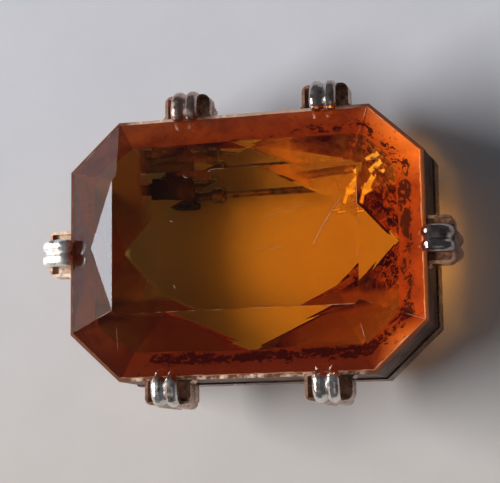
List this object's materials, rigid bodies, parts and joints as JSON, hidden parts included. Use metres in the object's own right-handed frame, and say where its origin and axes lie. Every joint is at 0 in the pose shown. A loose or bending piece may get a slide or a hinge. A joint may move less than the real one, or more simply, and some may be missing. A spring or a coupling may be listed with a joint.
{
  "type": "brooch",
  "caption": "Claw-set brooch with a large scissor-cut octagonal glass stone, an open back, and a hinged pin that closes into a roll-over safety catch.",
  "frame": {"origin": "under the centre of the stone, level with the lowest points of the pin fittings", "axes": "+Z is the way the stone faces, X is the brooch's long side with the pin's joint at -X and its catch at +X, +Y is the top edge as worn"},
  "size_m": [0.0297, 0.0222, 0.0108],
  "materials": {
    "amber_glass": "polished facets",
    "silver_plate": "worn bright plating",
    "worn_brass": "plating worn to warm metal"
  },
  "bodies": {
    "setting": {"stone": "amber_glass", "collet": "worn_brass", "back_ring": "worn_brass", "claw_left": "silver_plate", "claw_right": "silver_plate", "claw_top_left": "silver_plate", "claw_top_right": "silver_plate", "claw_bottom_left": "silver_plate", "claw_bottom_right": "silver_plate", "joint_plate": "worn_brass", "catch_plate": "worn_brass", "joint_bracket": "worn_brass", "joint_rivet": "silver_plate", "catch_housing": "worn_brass"},
    "pin": {"pin_stem": "silver_plate", "pin_collar": "silver_plate"},
    "catch_ring": {"catch_rotor": "worn_brass"}
  },
  "joints": [
    {"name": "pin_swing", "type": "hinge", "parent": "setting", "child": "pin", "pos_m": [-0.0055, 0.0043, 0.00155], "axis": [0, 1, 0], "range_deg": [0, 120]},
    {"name": "catch_turn", "type": "hinge", "parent": "setting", "child": "catch_ring", "pos_m": [0.0088, 0.0043, 0.00155], "axis": [1, 0, 0], "range_deg": [0, 90]}
  ]
}
